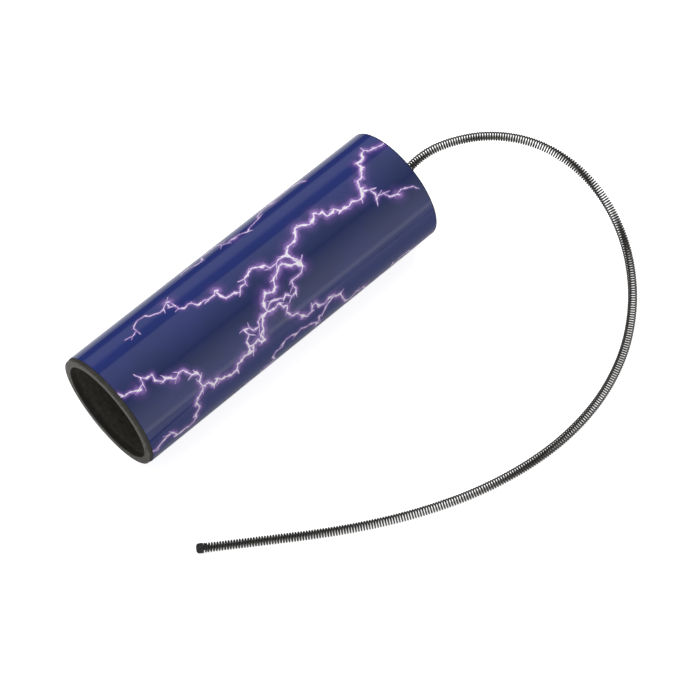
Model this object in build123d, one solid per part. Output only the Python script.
from build123d import *
import math
import os

# Thunder tube: a short fibreboard tube with a drum head glued over one end and a long coil spring
# hanging from the middle of that head. Shaking the tube makes the spring ring, and the head and
# tube turn that into a rumble. It lies on its side here, with its axis along X, its open end at -X,
# its head at +X and the floor at z = 0. All sizes are in millimetres.

# Tube
TUBE_LENGTH = 178.0
BORE_DIAMETER = 50.8
SHELL_WALL = 3.7
RIM_BEVEL_OUTSIDE = 0.5
RIM_BEVEL_INSIDE = 0.4

# Printed wrap, a sheet rolled once round the tube and butted along a seam on the underside
WRAP_THICKNESS = 0.35
BARE_BAND = 2.1
WRAP_HEAD_MARGIN = 0.3
SEAM_GAP = 0.3
SEAM_ANGLE = 300.0

# Drum head, a film drawn over the end and down a collar that the wrap covers
FILM_THICKNESS = 0.25
HEAD_COLLAR_LENGTH = 8.0
HEAD_EDGE_BEVEL = 0.8
HEAD_HOLE_DIAMETER = 3.2
BEARING_BEVEL_DEPTH = 3.0
BEARING_BEVEL_WIDTH = 1.6

# Anchor, a headed pin through the film between two washers, held by a push-on nut inside
SHANK_DIAMETER = 2.4
SHANK_REACH = 4.0
SHANK_TIP_BEVEL = 0.5
PIN_TAIL = 0.6
PIN_TAIL_BEVEL = 0.25
COLLAR_DIAMETER = 5.8
COLLAR_THICKNESS = 1.0
COLLAR_BEVEL = 0.25
OUTER_WASHER_DIAMETER = 12.0
INNER_WASHER_DIAMETER = 14.0
WASHER_THICKNESS = 0.8
NUT_DIAMETER = 8.0
NUT_THICKNESS = 0.5
NUT_SLOT_COUNT = 6
NUT_SLOT_WIDTH = 0.5
NUT_SLOT_REACH = 1.3
RUNNING_CLEARANCE = 0.05
AXIAL_PLAY = 0.05
NUT_CLEARANCE = 0.02

# Spring, one steel wire in open curls: the root grips the pin, and the tail hangs free
SPRING_DIAMETER = 4.6
WIRE_DIAMETER = 0.75
WIRE_SIDES = 3
ROOT_LENGTH = 16.0
ROOT_CURLS = 3
TAIL_CURLS = 48
LEAD_LENGTH = 1.3
BEND_GAP = 0.8
FLOOR_CLEARANCE = 0.05

# Tip cap, a soft button whose stem is pushed into the last curl
CAP_DIAMETER = 4.7
CAP_LENGTH = 3.4
CAP_END_BEVEL = 0.8
CAP_LIP_BEVEL = 0.2
STEM_DIAMETER = 2.2
STEM_LENGTH = 3.0
STEM_BEVEL = 0.3

# Spring route: distance ahead of the pin's collar, distance to the side, and height as a share,
# 1 level with the tube's axis and 0 lying on the floor
SPRING_ROUTE = (
    (0.0, 0.0, 1.0),
    (4.2, 0.0, 1.0),
    (11.4, 2.1, 1.029),
    (24.1, 1.2, 1.084),
    (37.1, -3.9, 1.095),
    (49.2, -10.6, 1.043),
    (60.4, -20.1, 0.933),
    (69.1, -31.9, 0.781),
    (74.3, -46.4, 0.597),
    (75.4, -62.2, 0.408),
    (70.8, -80.8, 0.235),
    (60.7, -98.7, 0.111),
    (45.0, -115.7, 0.032),
    (23.4, -130.2, 0.0),
    (-4.5, -139.7, 0.0),
    (-36.4, -141.7, 0.0),
    (-70.9, -135.5, 0.0),
    (-103.6, -122.6, 0.0),
    (-134.2, -105.3, 0.0),
    (-164.4, -83.9, 0.0),
    (-184.9, -69.2, 0.0),
)
CORNER_SHARE = 0.45

# Places along the tube's axis and radii about it
BORE_RADIUS = BORE_DIAMETER / 2
SHELL_RADIUS = BORE_RADIUS + SHELL_WALL
WRAP_RADIUS = SHELL_RADIUS + WRAP_THICKNESS
AXIS_HEIGHT = WRAP_RADIUS
OPEN_X = -TUBE_LENGTH / 2
HEAD_X = TUBE_LENGTH / 2
SHELL_END_X = HEAD_X - FILM_THICKNESS
HEAD_COLLAR_X = SHELL_END_X - HEAD_COLLAR_LENGTH
SEAT_RADIUS = SHELL_RADIUS - FILM_THICKNESS
SHANK_RADIUS = SHANK_DIAMETER / 2
WASHER_HOLE_RADIUS = SHANK_RADIUS + RUNNING_CLEARANCE
COLLAR_X = HEAD_X + WASHER_THICKNESS + AXIAL_PLAY
SPRING_X = COLLAR_X + COLLAR_THICKNESS
INNER_WASHER_X = SHELL_END_X - WASHER_THICKNESS
NUT_X = INNER_WASHER_X - AXIAL_PLAY - NUT_THICKNESS
COIL_RADIUS = (SPRING_DIAMETER - WIRE_DIAMETER) / 2
SPRING_REST = SPRING_DIAMETER / 2 + FLOOR_CLEARANCE
CAP_RADIUS = CAP_DIAMETER / 2
STEM_RADIUS = STEM_DIAMETER / 2
CAP_REST = CAP_RADIUS + FLOOR_CLEARANCE


def turned(outline):
    """Turn an outline of (distance along X, radius) points about the tube's axis."""
    return Pos(0, 0, AXIS_HEIGHT) * revolve(Plane.XZ * outline, Axis.X)


def bevelled(outline, corners):
    """Bevel the outline's corners, each given as (x, radius, size of the bevel)."""
    for x, r, size in corners:
        outline = chamfer(outline.vertices().sort_by_distance((x, r))[0], size)
    return outline


def across(x, outline, thickness):
    """Extrude an outline drawn square to the tube's axis from x towards the head."""
    return Pos(x, 0, AXIS_HEIGHT) * extrude(Plane.YZ * outline, thickness)


# Tube and head


def make_tube_shell():
    land_radius = BORE_RADIUS + BEARING_BEVEL_WIDTH
    bevel_x = SHELL_END_X - BEARING_BEVEL_DEPTH
    outline = make_face(
        Polyline(
            (OPEN_X, BORE_RADIUS),
            (OPEN_X, SHELL_RADIUS),
            (HEAD_COLLAR_X, SHELL_RADIUS),
            (HEAD_COLLAR_X, SEAT_RADIUS),
            (SHELL_END_X, SEAT_RADIUS),
            (SHELL_END_X, land_radius),
            (bevel_x, BORE_RADIUS),
            close=True,
        )
    )
    corners = (
        (OPEN_X, BORE_RADIUS, RIM_BEVEL_INSIDE),
        (OPEN_X, SHELL_RADIUS, RIM_BEVEL_OUTSIDE),
        (SHELL_END_X, SEAT_RADIUS, HEAD_EDGE_BEVEL),
    )
    return turned(bevelled(outline, corners))


def make_printed_wrap():
    ring = Circle(WRAP_RADIUS) - Circle(SHELL_RADIUS)
    seam = Rot(0, 0, SEAM_ANGLE) * Pos(SHELL_RADIUS, 0) * Rectangle(2 * SHELL_WALL, SEAM_GAP)
    start_x = OPEN_X + BARE_BAND
    return across(start_x, ring - seam, HEAD_X - WRAP_HEAD_MARGIN - start_x)


def make_drum_head():
    hole_radius = HEAD_HOLE_DIAMETER / 2
    corner_growth = FILM_THICKNESS * (2 - math.sqrt(2))
    outline = make_face(
        Polyline(
            (HEAD_X, hole_radius),
            (HEAD_X, SHELL_RADIUS),
            (HEAD_COLLAR_X, SHELL_RADIUS),
            (HEAD_COLLAR_X, SEAT_RADIUS),
            (SHELL_END_X, SEAT_RADIUS),
            (SHELL_END_X, hole_radius),
            close=True,
        )
    )
    corners = (
        (SHELL_END_X, SEAT_RADIUS, HEAD_EDGE_BEVEL),
        (HEAD_X, SHELL_RADIUS, HEAD_EDGE_BEVEL + corner_growth),
    )
    return turned(bevelled(outline, corners))


# Anchor


def make_washer(x, diameter):
    return across(x, Circle(diameter / 2) - Circle(WASHER_HOLE_RADIUS), WASHER_THICKNESS)


def make_anchor_pin():
    tail_x = NUT_X - PIN_TAIL
    tip_x = SPRING_X + SHANK_REACH
    collar_radius = COLLAR_DIAMETER / 2
    outline = make_face(
        Polyline(
            (tail_x, 0),
            (tail_x, SHANK_RADIUS),
            (COLLAR_X, SHANK_RADIUS),
            (COLLAR_X, collar_radius),
            (SPRING_X, collar_radius),
            (SPRING_X, SHANK_RADIUS),
            (tip_x, SHANK_RADIUS),
            (tip_x, 0),
            close=True,
        )
    )
    corners = (
        (tail_x, SHANK_RADIUS, PIN_TAIL_BEVEL),
        (COLLAR_X, collar_radius, COLLAR_BEVEL),
        (SPRING_X, collar_radius, COLLAR_BEVEL),
        (tip_x, SHANK_RADIUS, SHANK_TIP_BEVEL),
    )
    return turned(bevelled(outline, corners))


def make_push_nut():
    grip_radius = SHANK_RADIUS + NUT_CLEARANCE
    slot = Pos(grip_radius, 0) * Rectangle(2 * NUT_SLOT_REACH, NUT_SLOT_WIDTH)
    plate = Circle(NUT_DIAMETER / 2) - Circle(grip_radius)
    plate -= [turn * slot for turn in PolarLocations(0, NUT_SLOT_COUNT)]
    return across(NUT_X, plate, NUT_THICKNESS)


# Spring


def spring_points():
    """The route's points, from the pin's collar to the tip cap."""
    points = [
        Vector(SPRING_X + ahead, aside, SPRING_REST + share * (AXIS_HEIGHT - SPRING_REST))
        for ahead, aside, share in SPRING_ROUTE
    ]
    points[-1] = Vector(points[-1].X, points[-1].Y, CAP_REST)
    return points


def route_radii(points):
    """The bend radius at each inner point, as large as its two runs allow."""
    radii = []
    for before, here, after in zip(points, points[1:], points[2:]):
        turn = (here - before).get_angle(after - here)
        run = min((here - before).length, (after - here).length)
        radii.append(CORNER_SHARE * run / math.tan(math.radians(turn) / 2))
    return radii


def route_frame(route, distance):
    """A point of the route with its directions ahead, to the left and up."""
    centre = route.position_at(distance, position_mode=PositionMode.LENGTH)
    ahead = route.tangent_at(distance, position_mode=PositionMode.LENGTH)
    left = Vector(0, 0, 1).cross(ahead).normalized()
    return centre, ahead, left, ahead.cross(left)


def curl_knot(route, distance, turn, pitch):
    """The wire's place and direction at a distance along the route; turn 0 is on top."""
    centre, ahead, left, up = route_frame(route, distance)
    outward = up * math.cos(turn) - left * math.sin(turn)
    around = left * -math.cos(turn) - up * math.sin(turn)
    slope = 2 * math.pi * COIL_RADIUS / pitch
    return centre + outward * COIL_RADIUS, (ahead + around * slope).normalized()


def straight_knot(route, distance, turn):
    """The wire's place at a distance along the route, running straight ahead."""
    centre, ahead, left, up = route_frame(route, distance)
    return centre + (up * math.cos(turn) - left * math.sin(turn)) * COIL_RADIUS, ahead


def along(knot, distance):
    place, direction = knot
    return place + direction * distance, direction


def biarc(start, end):
    """Two tangent arcs from one knot of the wire to the next."""
    (p, u), (q, v) = start, end
    chord, bend = q - p, u + v
    a = bend.dot(bend) - 4
    b = -2 * chord.dot(bend)
    c = chord.dot(chord)
    reach = (-b - math.sqrt(b * b - 4 * a * c)) / (2 * a)
    if reach < 0:
        reach = (-b + math.sqrt(b * b - 4 * a * c)) / (2 * a)
    first, last = p + u * reach, q - v * reach
    middle = (first + last) * 0.5
    return [
        Edge.make_tangent_arc(p, u, middle),
        Edge.make_tangent_arc(middle, (last - first).normalized(), q),
    ]


def root_knots(route):
    """Straight off the collar, round the pin, and cut on top of the bend."""
    start = WIRE_DIAMETER + LEAD_LENGTH
    pitch = (ROOT_LENGTH - start) / ROOT_CURLS
    knots = [straight_knot(route, distance, -math.pi / 2) for distance in (0, WIRE_DIAMETER)]
    for half in range(2 * ROOT_CURLS):
        knots.append(curl_knot(route, start + half * pitch / 2, half * math.pi, pitch))
    bend = curl_knot(route, ROOT_LENGTH, 0, pitch)
    return knots + [along(bend, -BEND_GAP / 2 - WIRE_DIAMETER), along(bend, -BEND_GAP / 2)]


def tail_knots(route):
    """From the cut on top of the bend, round the loop and up to the tip cap."""
    end = route.length - WIRE_DIAMETER - LEAD_LENGTH
    pitch = (end - ROOT_LENGTH) / TAIL_CURLS
    bend = curl_knot(route, ROOT_LENGTH, 0, pitch)
    knots = [along(bend, BEND_GAP / 2), along(bend, BEND_GAP / 2 + WIRE_DIAMETER)]
    for half in range(1, 2 * TAIL_CURLS + 1):
        knots.append(curl_knot(route, ROOT_LENGTH + half * pitch / 2, half * math.pi, pitch))
    last = (route.length - WIRE_DIAMETER, route.length)
    return knots + [straight_knot(route, distance, math.pi / 2) for distance in last]


def make_wire(name, knots):
    """Sweep the wire along its knots: straight at both ends, and a biarc for each half curl."""
    edges = [Edge.make_line(knots[0][0], knots[1][0])]
    for start, end in zip(knots[1:-2], knots[2:-1]):
        edges += biarc(start, end)
    edges.append(Edge.make_line(knots[-2][0], knots[-1][0]))
    path = Wire(edges)
    start, direction = knots[0]
    section = Plane(start, z_dir=direction) * RegularPolygon(WIRE_DIAMETER / 2, WIRE_SIDES)
    wire = sweep(section, path=path, clean=False)
    tightest = min(edge.radius for edge in edges[1:-1])
    print(f"{name}: volume {wire.volume:.3f}, section by length {section.area * path.length:.3f}")
    print(f"{name}: tightest arc {tightest:.2f}, least gap to itself {least_gap(edges):.2f}")
    return wire


def least_gap(edges):
    """The least gap from the wire to itself, on points, leaving out its own half curl."""
    points, travelled = [], 0.0
    for edge in edges:
        for share in (0, 0.25, 0.5, 0.75):
            points.append((travelled + share * edge.length, *edge.position_at(share)))
        travelled += edge.length
    apart = math.pi * COIL_RADIUS
    least = min(
        math.dist(p[1:], q[1:])
        for i, p in enumerate(points)
        for q in points[i + 1 :]
        if q[0] - p[0] > apart
    )
    return least - WIRE_DIAMETER


def make_tip_cap(route):
    """A blunt button that meets the end of the wire, with a stem inside the last curl."""
    outline = make_face(
        Polyline(
            (0, -STEM_LENGTH),
            (STEM_RADIUS, -STEM_LENGTH),
            (STEM_RADIUS, 0),
            (CAP_RADIUS, 0),
            (CAP_RADIUS, CAP_LENGTH),
            (0, CAP_LENGTH),
            close=True,
        )
    )
    corners = (
        (CAP_RADIUS, CAP_LENGTH, CAP_END_BEVEL),
        (CAP_RADIUS, 0, CAP_LIP_BEVEL),
        (STEM_RADIUS, -STEM_LENGTH, STEM_BEVEL),
    )
    button = revolve(Plane.XZ * bevelled(outline, corners), Axis.Z)
    end, ahead, left, up = route_frame(route, route.length)
    return Plane(end, x_dir=left, z_dir=ahead).location * button


def main():
    points = spring_points()
    radii = route_radii(points)
    route = FilletPolyline(*points, radius=radii)
    print("spring route radii", [round(radius) for radius in radii])
    print(f"spring length {route.length:.1f}, bend at {tuple(route_frame(route, ROOT_LENGTH)[0])}")
    parts = {
        "tube_shell": make_tube_shell(),
        "printed_wrap": make_printed_wrap(),
        "drum_head": make_drum_head(),
        "outer_washer": make_washer(HEAD_X, OUTER_WASHER_DIAMETER),
        "inner_washer": make_washer(INNER_WASHER_X, INNER_WASHER_DIAMETER),
        "anchor_pin": make_anchor_pin(),
        "push_nut": make_push_nut(),
        "spring_root": make_wire("spring_root", root_knots(route)),
        "spring_tail": make_wire("spring_tail", tail_knots(route)),
        "tip_cap": make_tip_cap(route),
    }
    os.makedirs("parts", exist_ok=True)
    for name, part in parts.items():
        export_step(part, f"parts/{name}.step")


main()
